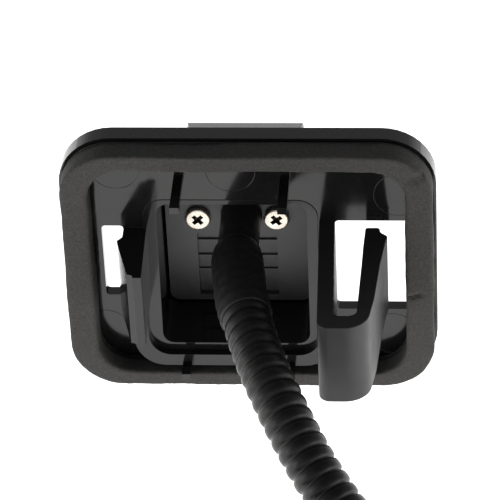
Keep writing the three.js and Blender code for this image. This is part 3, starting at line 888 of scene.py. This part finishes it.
def phillips_cutters(x, z, turn):
    """Two crossing tapered blades and a cone, which together cut a Phillips recess."""
    top, depth = -10.8, 1.25
    cutters = []
    for quarter in (0, 90):
        angle = math.radians(turn + quarter)
        along = Vector((math.cos(angle), 0, math.sin(angle))) * MM
        across = Vector((-math.sin(angle), 0, math.cos(angle))) * MM
        vertices = []
        for reach, half_length, half_width in ((top, 1.45, 0.46), (top - depth, 0.7, 0.32)):
            centre = place(x, reach, z)
            for end, flank in ((-1, -1), (1, -1), (1, 1), (-1, 1)):
                vertices.append(centre + along * half_length * end + across * half_width * flank)
        faces = [(0, 1, 2, 3), (7, 6, 5, 4), (0, 4, 5, 1), (1, 5, 6, 2), (2, 6, 7, 3), (3, 7, 4, 0)]
        mesh = mesh_from("blade", vertices, faces)
        fix_normals(mesh)
        cutters.append(mesh)
    cutters.append(lathe_mesh("cone", (x, z), [(0.02, top - 1.7), (0.35, top - 1.4), (0.78, top)], 24))
    # The cutters carry the recess's painted shade, and the booleans pass it on to the screw head's recess
    # faces.
    for mesh in cutters:
        mesh.materials.append(RECESS_PAINTED_SHADE)
    return cutters


def make_screw(name, x, turn):
    """A screw at this x, with its cross recess turned by this many degrees."""
    piece = add_object(name, lathe_mesh(name, (x, SCREW_HEIGHT), SCREW_PROFILE), NICKEL)
    helpers = []
    for mesh in phillips_cutters(x, SCREW_HEIGHT, turn):
        cutter = bpy.data.objects.new("cutter", mesh)
        bpy.context.scene.collection.objects.link(cutter)
        helpers.append(cutter)
        boolean = piece.modifiers.new("recess", "BOOLEAN")
        boolean.operation = "DIFFERENCE"
        boolean.solver = "EXACT"
        boolean.material_mode = "TRANSFER"
        boolean.object = cutter
    apply_modifiers(piece)
    for cutter in helpers:
        bpy.data.objects.remove(cutter)
    sharpen(piece, 35)
    return piece


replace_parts(make_screw("left_screw", x=-11.5, turn=45), "cover_screw_left")
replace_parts(make_screw("right_screw", x=4.7, turn=38), "cover_screw_right")

# ------------------------------------------------------------------ camera body, lens and boards

for name in ("camera_body", "lens_barrel", "lens_spacer", "board_spacer"):
    finish_node(name, SATIN, 0.15)
for name in ("front_lens", "rear_lens"):
    finish_node(name, GLASS, 0)
for name in ("sensor_board", "video_board"):
    finish_node(name, BOARD, 0)
for name in ("lens_seal_ring", "cover_seal"):
    finish_node(name, SEAL, 0)
finish_node("lens_retainer", DARK_METAL, 0.08)
finish_node("ir_filter", filter_glass(), 0)
finish_node("image_sensor", sensor_glass(), 0.1)
finish_node("cable_header", FILM, 0.15)

# ------------------------------------------------------------------ floor and light


def make_floor():
    """A white sweep just under the object, which lights it from below as well."""
    half, gap = 4.0, 0.05 * MM
    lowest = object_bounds()[0].z - gap
    corners = [(-half, -half, lowest), (half, -half, lowest), (half, half, lowest), (-half, half, lowest)]
    mesh = mesh_from("floor", corners, [(0, 1, 2, 3)])
    n = Nodes("white_sweep").set(Roughness=0.9)
    n.color(n.noise(400.0), [(0.3, (0.86, 0.86, 0.86)), (0.7, (0.9, 0.9, 0.9))])
    n.shader.inputs["Emission Color"].default_value = (1.0, 0.995, 0.985, 1)
    n.shader.inputs["Emission Strength"].default_value = 1.55
    floor = bpy.data.objects.new("floor", mesh)
    mesh.materials.append(n.material)
    bpy.context.scene.collection.objects.link(floor)


def make_world():
    """Bright at the horizon and below it, and darker towards the zenith."""
    world = bpy.data.worlds.new("studio")
    world.use_nodes = True
    tree = world.node_tree
    background = tree.nodes["Background"]
    direction = tree.nodes.new("ShaderNodeTexCoord")
    split = tree.nodes.new("ShaderNodeSeparateXYZ")
    ramp = tree.nodes.new("ShaderNodeValToRGB")
    tree.links.new(direction.outputs["Generated"], split.inputs[0])
    tree.links.new(split.outputs["Z"], ramp.inputs["Fac"])
    tree.links.new(ramp.outputs["Color"], background.inputs["Color"])
    fill_ramp(ramp.color_ramp, [(0.0, 1.0), (0.12, 0.8), (0.3, 0.34), (0.62, 0.3), (0.8, 0.05), (1.0, 0.05)])
    background.inputs["Strength"].default_value = 1.0
    bpy.context.scene.world = world


def add_light(name, size, power, origin, target):
    data = bpy.data.lights.new(name, "AREA")
    data.shape = "RECTANGLE"
    data.size, data.size_y = size
    data.energy = power
    light = bpy.data.objects.new(name, data)
    aim = (Vector(origin) - Vector(target)).to_track_quat("Z", "Y").to_matrix().to_4x4()
    light.matrix_world = Matrix.Translation(Vector(origin)) @ aim
    bpy.context.scene.collection.objects.link(light)


SOFTBOX = (0.35, 0.5)
LIT_POINT = (0, 0, 0.03)

make_world()
make_floor()
add_light("left_softbox", SOFTBOX, 1.2, (-0.95, -0.35, 0.16), LIT_POINT)
add_light("right_softbox", SOFTBOX, 0.6, (0.95, -0.3, 0.16), LIT_POINT)
scene = bpy.context.scene
scene.view_settings.view_transform = "Standard"
scene.view_settings.look = "None"
